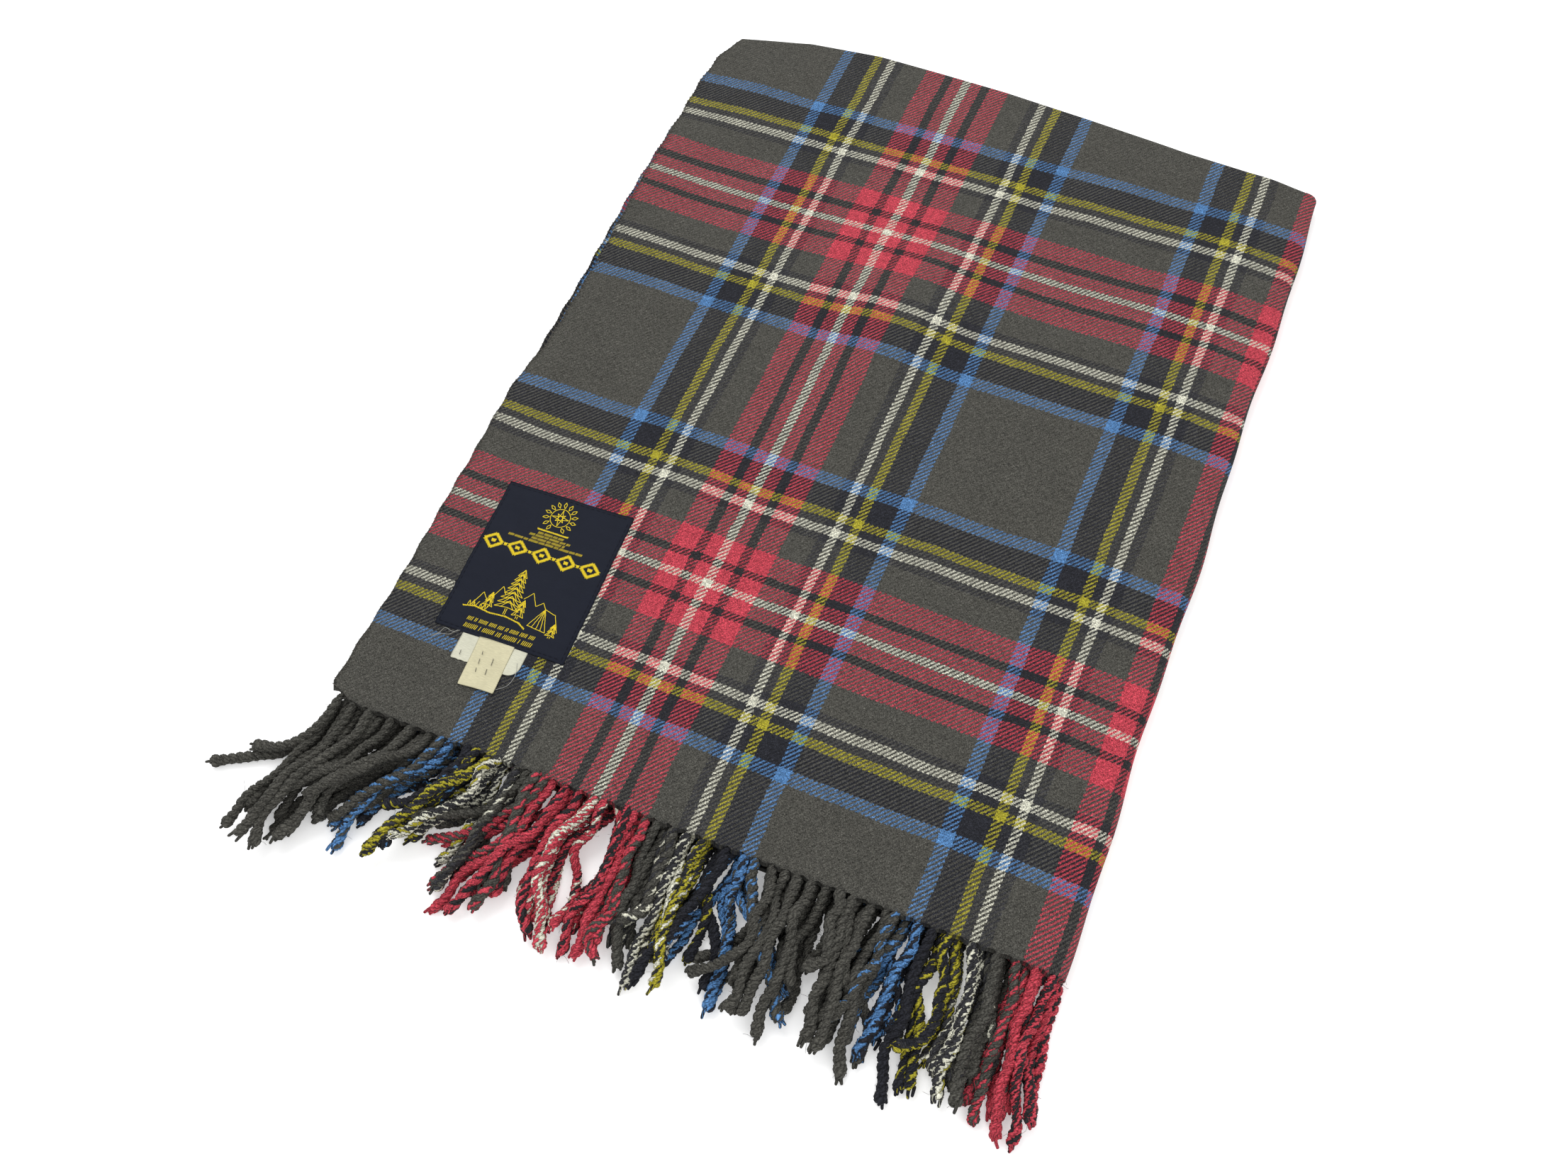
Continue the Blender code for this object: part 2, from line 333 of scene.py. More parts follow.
def outward(points):
    """At the grid's border, the way out of it along the surface."""
    out = np.zeros_like(points)

    def away(edge, inner):
        d = edge - inner
        return d / np.maximum(np.linalg.norm(d, axis=-1, keepdims=True), 1e-12)

    out[0] += away(points[0], points[1])
    out[-1] += away(points[-1], points[-2])
    out[:, 0] += away(points[:, 0], points[:, 1])
    out[:, -1] += away(points[:, -1], points[:, -2])
    size = np.linalg.norm(out, axis=-1, keepdims=True)
    return out / np.maximum(size, 1e-12)


# ---------------- materials
def linear(rgb):
    """8-bit sRGB to the linear colour that a shader takes."""
    out = []
    for channel in rgb:
        c = channel / 255
        out.append(c / 12.92 if c <= 0.04045 else ((c + 0.055) / 1.055) ** 2.4)
    return (*out, 1.0)


SHINE = 0.15  # wool and woven thread hardly shine
RIB_PITCH = 0.0003  # of the label and the tags
YARN_TURNS = 95.0  # that a strand's own threads make in a metre
STRAND_THREADS = 6.0
THREAD_SPREAD = WARP_PITCH * 2.5


def preset(node, **values):
    """Sets a node's own inputs; an underscore stands for a space in a name."""
    for name, value in values.items():
        node.inputs[name.replace("_", " ")].default_value = value


class Nodes:
    """Short hand for a material's node tree."""

    def __init__(self, name, roughness, sheen=0.0):
        self.material = bpy.data.materials.new(name)
        self.material.use_nodes = True
        self.tree = self.material.node_tree
        self.shader = self.tree.nodes["Principled BSDF"]
        preset(self.shader, Roughness=roughness, Specular_IOR_Level=SHINE)
        if sheen:
            preset(self.shader, Sheen_Weight=sheen, Sheen_Roughness=0.6)

    def new(self, kind):
        return self.tree.nodes.new("ShaderNode" + kind)

    def put(self, socket, value):
        if isinstance(value, bpy.types.NodeSocket):
            self.tree.links.new(value, socket)
        elif value is not None:
            socket.default_value = value

    def math(self, operation, a, b=None, c=None):
        node = self.new("Math")
        node.operation = operation
        for socket, value in zip(node.inputs, (a, b, c)):
            self.put(socket, value)
        return node.outputs[0]

    def times(self, a, b):
        return self.math("MULTIPLY", a, b)

    def plus(self, a, b):
        return self.math("ADD", a, b)

    def minus(self, a, b):
        return self.math("SUBTRACT", a, b)

    def muladd(self, a, b, c):
        return self.math("MULTIPLY_ADD", a, b, c)

    def sine(self, a):
        return self.math("SINE", a)

    def mix(self, factor, a, b, blend="MIX"):
        node = self.new("Mix")
        node.data_type = "RGBA"
        node.blend_type = blend
        self.put(node.inputs["Factor"], factor)
        self.put(node.inputs[6], a)
        self.put(node.inputs[7], b)
        return node.outputs[2]

    def uv(self, layer):
        node = self.new("UVMap")
        node.uv_map = layer
        split = self.new("SeparateXYZ")
        self.tree.links.new(node.outputs[0], split.inputs[0])
        return split.outputs[0], split.outputs[1], node.outputs[0]

    def noise(self, vector, scale, detail=2.0):
        node = self.new("TexNoise")
        preset(node, Scale=scale, Detail=detail, Roughness=0.5)
        self.put(node.inputs["Vector"], vector)
        return node.outputs["Fac"]

    def scaled(self, vector, sizes):
        node = self.new("VectorMath")
        node.operation = "MULTIPLY"
        self.put(node.inputs[0], vector)
        node.inputs[1].default_value = sizes
        return node.outputs[0]

    def bands(self, factor, stops):
        node = self.new("ValToRGB")
        band = node.color_ramp
        band.interpolation = "CONSTANT"
        while len(band.elements) < len(stops):
            band.elements.new(1.0)
        for element, (at, colour) in zip(band.elements, stops):
            element.position = at
        for element, (at, colour) in zip(band.elements, stops):
            element.color = colour
        self.put(node.inputs[0], factor)
        return node.outputs[0]

    def colour(self, value):
        self.put(self.shader.inputs["Base Color"], value)

    def bump(self, height, distance, strength=1.0):
        node = self.new("Bump")
        preset(node, Distance=distance, Strength=strength)
        self.put(node.inputs["Height"], height)
        self.tree.links.new(node.outputs[0], self.shader.inputs["Normal"])


def sett_ramp(nodes, coordinate, repeat):
    """Colour of the thread at this place across the check."""
    folded = nodes.math("PINGPONG", nodes.math("DIVIDE", coordinate, repeat), 0.5)
    stops = [(2 * at, linear(WOOL[name])) for at, name in SETT]
    return nodes.bands(nodes.times(folded, 2.0), stops)


def nearest_thread(nodes, coordinate, pitch):
    """The number of the thread, and its middle in metres."""
    number = nodes.math("FLOOR", nodes.math("DIVIDE", coordinate, pitch))
    middle = nodes.times(nodes.plus(number, 0.5), pitch)
    return number, middle


def thread_profile(nodes, coordinate, pitch):
    """1 along the middle of each thread and 0 between two."""
    turn = nodes.times(nodes.math("DIVIDE", coordinate, pitch), math.pi)
    return nodes.math("ABSOLUTE", nodes.sine(turn))


def contrasted(nodes, value, gain, middle=1.0):
    """A noise stretched about its mean."""
    return nodes.muladd(value, gain, middle - gain / 2)


def tartan_wool():
    """2/2 twill of brushed wool in the check's colours."""
    n = Nodes("tartan_wool", 0.95, sheen=0.02)
    u, v, uv = n.uv("check")
    drift = n.times(n.minus(n.noise(uv, 28.0, 2.0), 0.5), 0.0022)
    shake = n.times(n.minus(n.noise(uv, 800.0, 1.0), 0.5), 0.0016)
    wander = n.plus(drift, shake)
    wu, wv = n.plus(u, wander), n.plus(v, wander)
    warp_number, warp_at = nearest_thread(n, wu, WARP_PITCH)
    weft_number, weft_at = nearest_thread(n, wv, WEFT_PITCH)
    warp = sett_ramp(n, warp_at, REPEAT)
    weft = sett_ramp(n, weft_at, REPEAT_LONG)
    step = n.math("FLOORED_MODULO", n.minus(warp_number, weft_number), 4.0)
    on_top = n.math("LESS_THAN", step, 2.0)
    nap = n.noise(uv, 1500.0, 1.0)
    cover = n.muladd(on_top, 0.7, contrasted(n, nap, 0.9, 0.15))
    colour = n.mix(cover, weft, warp)
    # Unlike threads shade each other where they cross.
    contrast = n.mix(1.0, warp, weft, "DIFFERENCE")
    colour = n.mix(0.12, colour, contrast, "SUBTRACT")

    warp_round = thread_profile(n, wu, WARP_PITCH)
    weft_round = thread_profile(n, wv, WEFT_PITCH)
    across = n.times(n.minus(1.0, on_top), weft_round)
    threads = n.muladd(on_top, warp_round, across)
    rib = n.minus(n.math("DIVIDE", u, WARP_PITCH), n.math("DIVIDE", v, WEFT_PITCH))
    rib = n.sine(n.times(rib, math.tau / 4))
    grain = n.noise(uv, 1700.0, 1.0)
    hairs = n.noise(n.scaled(uv, (1.0, 0.35, 1.0)), 2600.0, 1.0)
    other_hairs = n.noise(n.scaled(uv, (0.35, 1.0, 1.0)), 2300.0, 1.0)
    tufts = n.noise(uv, 420.0, 2.0)
    patchy = n.noise(uv, 60.0, 3.0)
    shade = contrasted(n, grain, 2.2, 1.02)
    for unevenness, gain in ((hairs, 1.8), (other_hairs, 1.5), (tufts, 1.1), (patchy, 0.35)):
        shade = n.times(shade, contrasted(n, unevenness, gain))
    # Painted shade along the twill ribs and in the gaps between neighbouring threads.
    shade = n.times(shade, n.muladd(rib, 0.09, 1.0))
    shade = n.times(shade, n.muladd(threads, 0.34, 0.8))
    shade = n.math("MAXIMUM", shade, 0.25)
    n.colour(n.mix(1.0, colour, shade, "MULTIPLY"))
    height = n.muladd(rib, 0.3, n.times(grain, 1.2))
    height = n.plus(height, n.muladd(threads, 0.4, tufts))
    n.bump(height, 0.0004, 0.9)
    return n.material


def fringe_wool():
    """Plied yarn whose threads keep the colours that they have in the cloth."""
    n = Nodes("fringe_wool", 0.95, sheen=0.02)
    round_at, along, _ = n.uv("yarn")
    warp, seed, _ = n.uv("warp")
    place = n.new("CombineXYZ")
    spiral = n.muladd(along, YARN_TURNS, round_at)
    aside = n.times(n.sine(n.times(round_at, math.tau)), 0.0016)
    n.put(place.inputs[0], aside)
    n.put(place.inputs[1], along)
    n.put(place.inputs[2], seed)
    spot = place.outputs[0]
    shake = n.times(n.minus(n.noise(spot, 700.0, 1.0), 0.5), 0.35)
    yarn = n.math("FRACT", n.plus(n.plus(spiral, shake), 40.0))
    number = n.plus(n.math("FLOOR", n.times(yarn, STRAND_THREADS)), 1.0)
    # The threads of a strand lie in mixed order round it.
    mixed = n.math("FLOORED_MODULO", n.times(number, 3.0), 7.0)
    offset = n.times(n.minus(mixed, 3.5), THREAD_SPREAD)
    colour = sett_ramp(n, n.plus(warp, offset), REPEAT)
    fibre = n.noise(n.scaled(spot, (1.0, 0.4, 1.0)), 2200.0, 1.0)
    grain = n.noise(spot, 1500.0, 1.0)
    tone = n.noise(spot, 90.0, 2.0)
    shade = n.times(contrasted(n, fibre, 1.6, 0.95), contrasted(n, grain, 1.5))
    shade = n.times(shade, contrasted(n, tone, 0.6))
    # Painted shade in the grooves between the threads of a strand; the groove also shapes the bump.
    within = n.math("FRACT", n.times(yarn, STRAND_THREADS))
    groove = n.sine(n.times(within, math.pi))
    shade = n.times(shade, n.muladd(groove, 0.75, 0.6))
    shade = n.math("MAXIMUM", shade, 0.2)
    n.colour(n.mix(1.0, colour, shade, "MULTIPLY"))
    height = n.muladd(fibre, 1.2, n.muladd(grain, 1.2, groove))
    n.bump(height, 0.00045, 0.9)
    return n.material


def plain_thread(name, rgb, roughness=0.6):
    """A spun thread with fine ridges."""
    n = Nodes(name, roughness)
    around, along, uv = n.uv("yarn")
    turn = n.times(around, math.tau)
    ridge = n.sine(n.muladd(along, 9000.0, turn))
    tone = n.noise(uv, 300.0, 2.0)
    # Painted shade along the ridges, on top of their bump.
    shade = n.muladd(ridge, 0.12, n.muladd(tone, 0.3, 0.8))
    n.colour(n.mix(1.0, linear(rgb), shade, "MULTIPLY"))
    n.bump(ridge, 0.00008, 0.6)
    return n.material


def satin(name, rgb, contrast):
    """A finely woven ribbon or tag: cross ribs and a little unevenness."""
    n = Nodes(name, roughness=0.7)
    u, v, uv = n.uv("weave")
    rib = n.sine(n.times(v, math.tau / RIB_PITCH))
    slub = n.noise(n.scaled(uv, (0.15, 1.0, 1.0)), 2500.0, 3.0)
    tone = n.noise(uv, 90.0, 2.0)
    # Painted shade along the cross ribs.
    shade = n.muladd(rib, contrast, n.muladd(tone, 0.25, 0.875))
    shade = n.times(shade, n.muladd(slub, 0.5, 0.75))
    n.colour(n.mix(1.0, linear(rgb), shade, "MULTIPLY"))
    n.bump(n.muladd(rib, 0.5, slub), 0.00006, 0.5)
    return n.material


# ---------------- cloth
def blanket_cloth(material):
    points, uv = sheet_grid()
    verts, quads, coords = thick_sheet(points, uv, WOOL_THICK, 0.0012)
    verts = clear_of_turn(verts, *points.shape[:2])
    cloth = make_mesh("blanket_cloth", verts, quads, {"check": coords}, material)
    nodes = ["lower_far_fold", "upper_far_fold"]
    nodes += [f"{ply}_ply" for ply in PLIES]
    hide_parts(*nodes)
    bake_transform(cloth)
    return cloth


PLIES = {
    "lower_outer": (0.00185, 1, "lower_half"),
    "lower_inner": (0.00585, -1, "lower_half"),
    "upper_inner": (0.00985, -1, "upper_half"),
    "upper_outer": (0.01385, 1, "upper_half"),
}


def tube(centre, radius, sides, reference=None):
    """Rings round a centreline: points (rings, sides, 3)."""
    centre = np.asarray(centre, float)
    tangent = np.gradient(centre, axis=0)
    tangent /= np.maximum(np.linalg.norm(tangent, axis=1, keepdims=True), 1e-12)
    if reference is None:
        reference = np.tile((0.0, 0.0, 1.0), (len(centre), 1))
    side = np.cross(tangent, reference)
    side /= np.maximum(np.linalg.norm(side, axis=1, keepdims=True), 1e-12)
    lift_way = np.cross(side, tangent)
    angle = np.arange(sides) / sides * math.tau
    radius = np.broadcast_to(np.asarray(radius, float), (len(centre),))[:, None, None]
    ring = lift_way[:, None] * np.cos(angle)[None, :, None]
    ring = ring + side[:, None] * np.sin(angle)[None, :, None]
    return centre[:, None] + ring * radius


def tube_faces(rings, sides, offset=0):
    i, j = np.meshgrid(np.arange(rings - 1), np.arange(sides), indexing="ij")
    k = (j + 1) % sides
    quads = np.stack([i * sides + j, i * sides + k, (i + 1) * sides + k, (i + 1) * sides + j], -1)
    return quads.reshape(-1, 4) + offset


def tube_uv(rings, sides, lengths):
    """Per-corner (turn, length) for tube_faces, without a seam jump."""
    i, j = np.meshgrid(np.arange(rings - 1), np.arange(sides), indexing="ij")
    a, b = j / sides, (j + 1) / sides
    l0, l1 = lengths[i], lengths[i + 1]
    corners = [np.stack(pair, -1) for pair in ((a, l0), (b, l0), (b, l1), (a, l1))]
    return np.stack(corners, -2).reshape(-1, 2)


class Bundle:
    """Tubes gathered into one mesh."""

    def __init__(self):
        self.points, self.quads, self.yarn, self.warp, self.count = [], [], [], [], 0

    def add(self, centre, radius, sides=8, reference=None, warp=(0.0, 0.0)):
        rings = tube(centre, radius, sides, reference)
        lengths = lengths_along(centre)
        caps = self.close(rings)
        rings = np.concatenate([caps[0], rings, caps[1]])
        lengths = np.concatenate([[0, 0], lengths, [lengths[-1], lengths[-1]]])
        n = len(rings)
        self.points.append(rings.reshape(-1, 3))
        self.quads.append(tube_faces(n, sides, self.count))
        self.yarn.append(tube_uv(n, sides, lengths))
        self.warp.append(np.tile(warp, ((n - 1) * sides * 4, 1)))
        self.count += n * sides

    @staticmethod
    def close(rings):
        """Two rings at each end that shrink to a rounded cap."""
        out = []
        for end, before in ((0, 1), (-1, -2)):
            middle = rings[end].mean(0)
            way = middle - rings[before].mean(0)
            way /= max(np.linalg.norm(way), 1e-9)
            size = np.linalg.norm(rings[end][0] - middle)
            near = middle + (rings[end] - middle) * 0.72 + way * size * 0.55
            tip = middle + (rings[end] - middle) * 0.05 + way * size * 0.8
            pair = np.stack([tip, near]) if end == 0 else np.stack([near, tip])
            out.append(pair)
        return out

    def build(self, name, material, body):
        uvs = {"yarn": np.concatenate(self.yarn), "warp": np.concatenate(self.warp)}
        points = np.concatenate(self.points)
        return make_mesh(name, points, np.concatenate(self.quads), uvs, material, body)


def edging(material):
    """The overcast thread round each ply's left edge."""
    pieces = []
    pitch = 0.0032
    for ply, (z, layer, body) in PLIES.items():
        upper = ply.startswith("upper")
        end = 0.276 if upper else 0.270
        y = np.arange(HEM_Y + 0.004, end, pitch / 10)
        phase = (y - y[0]) / pitch * math.tau + 0.4 * np.sin(y * 140)
        edge = left_edge(y, layer)
        rise = lift(edge, y) if upper else 0.0
        x = edge + 0.0007 + 0.0019 * np.cos(phase)
        zz = z + rise + (WOOL_THICK / 2 + 0.00012) * np.sin(phase)
        bundle = Bundle()
        bundle.add(np.stack([x, y, zz], -1), 0.00022, 5)
        piece = bundle.build(f"{ply}_overcast", material, body)
        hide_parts(f"{ply}_edging")
        pieces.append(piece)
    return pieces


# ---------------- fringe
STRAND = 0.00174
HELIX = 0.00092
TWIST_PITCH = 0.0073
TASSEL_R = STRAND + HELIX
FRAYED = 5
PILE_TOP = 0.0215
ROOT_IN = 0.005  # the tassels start this far inside the hem
LOOSE_HAIRS = 14
# The top row as it lies in the photograph, from left to right: where each tassel leaves
# the hem, then the x and y of the points that it passes, in millimetres from there.
TOP_ROW = (
    (-164.5, -3, -12, -5, -24, -8, -40, -15, -60, -24, -79),
    (-157, -1, -14, -3, -28, -7, -45, -12, -64, -19, -82),
    (-147, -1, -18, -7, -38, -17, -56, -21, -83),
    (-135, -3, -19, -9, -36, -20, -48, -35, -58),
    (-124, -3, -19, -13, -36, -24, -50, -35, -76),
    (-114, -4, -17, -16, -30, -28, -43, -37, -54),
    (-107, -3, -16, -10, -29, -20, -41, -34, -58),
    (-101, -4, -12, -9, -23, -21, -34, -29, -48, -33, -70),
    (-94, 1, -11, -2, -26, -9, -40, -16, -53, -17, -60),
    (-88, -1, -13, -7, -27, -19, -39, -30, -43),
    (-81, -3, -14, -12, -28, -23, -43, -36, -67),
    (-74, -5, -11, -6, -20, -12, -31, -20, -43, -33, -56),
    (-66, -2, -16, -3, -31, -5, -47, -12, -69),
    (-60, -4, -13, -12, -25, -26, -36, -42, -44),
    (-55, -2, -14, -1, -29, 1, -43, 1, -57, -2, -71),
    (-51, -3, -15, -10, -26, -24, -41, -43, -50),
    (-47, -3, -14, -4, -29, -10, -46, -20, -57, -30, -78),
    (-40, -3, -19, -7, -33, -16, -50, -28, -76),
    (-34, -1, -14, -3, -29, -4, -45, -1, -62, 5, -72),
    (-25, -3, -16, -9, -30, -9, -44, -2, -61, 4, -76),
    (-20, -2, -16, -5, -30, 0, -41, 3, -54, 2, -66),
    (-12, 4, -10, 6, -27, 4, -43, -1, -59, 0, -74),
    (-5, -1, -16, 2, -34, 0, -53, 0, -73),
    (1, -1, -14, 1, -32, 2, -51, -1, -65, 3, -71),
    (7, -2, -14, -1, -33, 1, -50, 7, -70),
    (15, 0, -17, 1, -31, 0, -46, -5, -53),
    (22, -2, -14, -1, -34, -2, -51, -1, -76),
    (30, -2, -15, -1, -34, 1, -50, 5, -73),
    (41, -1, -13, -4, -28, -7, -42, -11, -57, -16, -73),
    (49, 1, -12, 3, -30, 8, -45, 10, -59, 9, -72),
    (55, 1, -12, 5, -23, 15, -37, 25, -51, 36, -65),
    (61, 4, -13, 6, -29, 5, -44, -3, -54, -15, -61),
    (69, 1, -15, 4, -31, 2, -50, -1, -70),
    (75, 1, -17, 2, -34, 1, -52, 0, -69),
    (82, 0, -17, 1, -31, 2, -49, 0, -75),
    (90, -1, -13, -4, -29, -4, -42, 0, -50),
    (94, 3, -12, 5, -28, 7, -35, 0, -42),
    (101, 1, -16, 2, -31, 2, -48, 3, -69),
    (111, -1, -13, -2, -31, -1, -50, -1, -71),
    (117, 1, -16, -2, -34, 1, -53, 5, -77),
    (123, -2, -11, -3, -23, -4, -38, -9, -51, -12, -57),
    (133, -1, -15, -3, -30, -4, -45, -5, -66),
    (139, -1, -25, 0, -42, -1, -60, 3, -80),
    (146, 1, -15, 4, -25, 7, -38, 4, -50, -5, -57),
    (156, 2, -11, 6, -21, 7, -33, 7, -50, 7, -70),
    (167, 2, -10, 4, -25, 3, -39, 2, -55, 4, -70),
    (177, 1, -12, 3, -26, 3, -40, 2, -57, 5, -73),
    (185, 1, -15, 1, -31, 2, -45, 3, -60, 6, -75),
    (193, 0, -15, -3, -33, -1, -48, 2, -61, 6, -75),
)


class Pile:
    """The height of what already lies under the fringe, on a 1 mm grid."""

    def __init__(self):
        self.x0, self.y0, self.cell = -0.27, -0.33, 0.001
        self.height = np.zeros((520, 150))
        reach = int(math.ceil(TASSEL_R / self.cell))
        span = np.arange(-reach, reach + 1)
        i, j = np.meshgrid(span, span, indexing="ij")
        d2 = (i**2 + j**2) * self.cell**2
        keep = d2 < TASSEL_R**2
        self.i, self.j = i[keep], j[keep]
        self.dome = np.sqrt(TASSEL_R**2 - d2[keep]) * 0.42

    def cells(self, path):
        a = np.round((path[:, 0] - self.x0) / self.cell).astype(int)
        b = np.round((path[:, 1] - self.y0) / self.cell).astype(int)
        a = np.clip(a[:, None] + self.i, 0, self.height.shape[0] - 1)
        b = np.clip(b[:, None] + self.j, 0, self.height.shape[1] - 1)
        return a, b

    def support(self, path):
        a, b = self.cells(path)
        need = (self.height[a, b] + self.dome).max(1)
        return np.clip(need, TASSEL_R, PILE_TOP)

    def lay(self, path):
        a, b = self.cells(path)
        np.maximum.at(self.height, (a, b), path[:, 2][:, None] + self.dome)


def curve_through(controls, count):
    """A smooth line through a few points, evenly stepped."""
    controls = np.asarray(controls, float)
    t = lengths_along(controls)
    slopes = np.gradient(controls, t, axis=0)
    fine = np.linspace(0, t[-1], count * 4)
    k = np.clip(np.searchsorted(t, fine, side="right") - 1, 0, len(t) - 2)
    h = (t[k + 1] - t[k])[:, None]
    w = ((fine - t[k])[:, None]) / h
    p = (
        controls[k] * (1 + 2 * w) * (1 - w) ** 2
        + controls[k + 1] * w**2 * (3 - 2 * w)
        + slopes[k] * h * w * (1 - w) ** 2
        - slopes[k + 1] * h * w**2 * (1 - w)
    )
    s = lengths_along(p)
    even = np.linspace(0, s[-1], count)
    return np.stack([np.interp(even, s, p[:, a]) for a in range(p.shape[1])], -1)


def top_route(number):
    """Plan of one tassel of the top row."""
    root, *points = TOP_ROW[number]
    start = np.array((root * MM, HEM_Y + ROOT_IN))
    plan = curve_through([start, *(start + np.reshape(points, (-1, 2)) * MM)], 60)
    t = np.linspace(0, 1, 60)
    waver = np.sin(t * 14 + number * 2.4) + 0.6 * np.sin(t * 23 + number * 5.1)
    plan[:, 0] += 0.0008 * waver * smooth(t * 4)
    return plan


def lower_route(root_x, root_y, r):
    """Plan of a tassel below the top row: it hangs with the nearest one there."""
    roots = np.array([row[0] for row in TOP_ROW]) * MM
    near = np.argsort(np.abs(roots - root_x + r.normal(0, 0.005)))[0]
    guide = top_route(near)
    t = np.linspace(0, 1, len(guide))
    start = np.array((root_x, root_y))
    apart = start - guide[0]
    stretch = r.uniform(0.93, 1.07)
    away = r.normal(0, 0.0048)
    bend = r.normal(0, 0.0026)
    # The rows lie closer together at the two ends of the hem, and fill the ends.
    loose = smooth((abs(root_x - 0.01) - 0.105) / 0.05)
    pull = 0.6 - 0.4 * loose
    plan = start + (guide - guide[0]) * stretch - np.outer(smooth(t * 1.3) * pull, apart)
    plan[:, 0] += away * smooth(t) + bend * np.sin(t * math.pi * 2)
    return curve_through(plan[::10], 60)


def settle(plan, root_z, pile):
    """Lets a plan route sink onto what lies below it."""
    path = np.column_stack([plan, np.zeros(len(plan))])
    need = pile.support(path)
    step = np.linalg.norm(plan[1] - plan[0])
    z = np.zeros(len(plan))
    z[0] = root_z
    for i in range(1, len(z)):
        slope = 0.55 * smooth(np.array(i * step / 0.02))
        z[i] = max(need[i], z[i - 1] - slope * step)
    for i in range(len(z) - 2, 0, -1):
        z[i] = max(z[i], z[i + 1] - 0.5 * step)
    kernel = np.ones(7) / 7
    padded = np.concatenate([np.full(3, root_z), z, np.full(3, z[-1])])
    z = np.convolve(padded, kernel, mode="valid")
    ease = smooth(np.arange(len(z)) * step / 0.008)
    path[:, 2] = root_z * (1 - ease) + z * ease
    pile.lay(path)
    return path


def add_tassel(bundle, path, warp_at, seed, r):
    """Two strands twisted round each other along path, frayed at the tip."""
    length = np.linalg.norm(np.diff(path, axis=0), axis=1).sum()
    count = max(24, int(length / TWIST_PITCH * 10))
    path = curve_through(path, count)
    s = np.linspace(0, length, count)
    tangent = np.gradient(path, axis=0)
    tangent /= np.linalg.norm(tangent, axis=1, keepdims=True)
    side = np.cross(tangent, (0.0, 0.0, 1.0))
    side /= np.linalg.norm(side, axis=1, keepdims=True)
    over = np.cross(side, tangent)
    pitch = TWIST_PITCH * r.uniform(0.92, 1.15)
    loosen = smooth((s - (length - 0.006)) / 0.006)
    phase = math.tau * smooth(s / 0.006) * s / pitch + r.choice([0.0, math.pi])
    size = r.uniform(0.94, 1.1)
    uneven = 1 + 0.07 * np.sin(s * r.uniform(250, 420) + r.uniform(0, 6))
    for half in (0, 1):
        angle = phase + half * math.pi
        grown = 0.45 + 0.55 * smooth(s / 0.009)
        spread = HELIX * size * (grown + 0.12 * loosen)
        radial = side * np.cos(angle)[:, None] - over * np.sin(angle)[:, None]
        centre = path + radial * spread[:, None]
        end = length - r.uniform(0, 0.0015)
        swell = 1 + 0.24 * np.exp(-(((s - length + 0.003) / 0.003) ** 2))
        radius = STRAND * size * uneven * swell * grown
        at = warp_at + (0.5 - half) * 0.0034 * math.cos(phase[0])
        keep = s <= end
        bundle.add(centre[keep], radius[keep], 8, reference=radial[keep], warp=(at, seed))
    add_fuzz(bundle, path, warp_at, seed, r)


def add_fuzz(bundle, path, warp_at, seed, r):
    """The frayed end and a few loose hairs of one tassel."""
    way = path[-1] - path[-3]
    way /= np.linalg.norm(way)
    for _ in range(FRAYED):
        start = path[-1] - way * r.uniform(0.002, 0.004) + r.normal(0, 0.0010, 3)
        end = start + way * r.uniform(0.0030, 0.0048) + r.normal(0, 0.0005, 3)
        bend = (start + end) / 2 + r.normal(0, 0.0003, 3)
        line = curve_through([start, bend, end], 6)
        line[:, 2] = np.maximum(line[:, 2], 0.0006)
        taper = np.linspace(0.0009, 0.0007, 6)
        bundle.add(line, taper, 5, warp=(warp_at + r.normal(0, 0.0012), seed))
    for _ in range(LOOSE_HAIRS):
        at = path[r.integers(2, len(path) - 1)]
        out = r.normal(0, 1, 3)
        out /= np.linalg.norm(out)
        start = at + out * TASSEL_R * 0.7
        end = start + out * r.uniform(0.0006, 0.0018) + r.normal(0, 0.0018, 3)
        bend = start + (end - start) * 0.5 + r.normal(0, 0.0006, 3)
        line = curve_through([start, bend, end], 5)
        line[:, 2] = np.maximum(line[:, 2], 0.0003)
        bundle.add(line, 0.00007, 3, warp=(warp_at + r.normal(0, 0.0012), seed))


def root_places(row, r):
    """Where the tassels of a row leave the hem."""
    if row == 3:
        return np.array([route[0] for route in TOP_ROW]) * MM
    first = left_edge(np.array(HEM_Y), 1) + 0.004
    return np.linspace(first, FOLD_X - 0.004, TASSELS) + r.normal(0, 0.0007, TASSELS)


def fringe(material):
    """Four rows of tassels, laid from the lowest row up."""
    pile = Pile()
    pieces = []
    for row, (ply, (root_z, layer, body)) in enumerate(PLIES.items()):
        r = np.random.default_rng(100 + row)
        upper = ply.startswith("upper")
        root_y = HEM_Y + (0.0 if layer > 0 else INNER_HEM_STEP) + ROOT_IN
        roots = root_places(row, r)
        routes = {}
        for i in r.permutation(TASSELS):
            plan = top_route(i) if row == 3 else lower_route(roots[i], root_y, r)
            path = settle(plan, float(pressed(roots[i], root_z)), pile)
            mirrored = 2 * FOLD_X + 0.012 - roots[i]
            warp_at = check_uv(roots[i] if upper else mirrored, root_y)[0]
            routes[int(i)] = (path, float(warp_at))
        for group in range(TASSELS // GROUP):
            bundle = Bundle()
            for i in range(group * GROUP, (group + 1) * GROUP):
                path, warp_at = routes[i]
                add_tassel(bundle, path, warp_at, row * 10 + i * 0.37, r)
            name = f"{ply}_tassels_{group + 1}"
            piece = bundle.build(name, material, body)
            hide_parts(f"{ply}_fringe_{group + 1}")
            if upper:
                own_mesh(piece)
            pieces.append(piece)
    return pieces


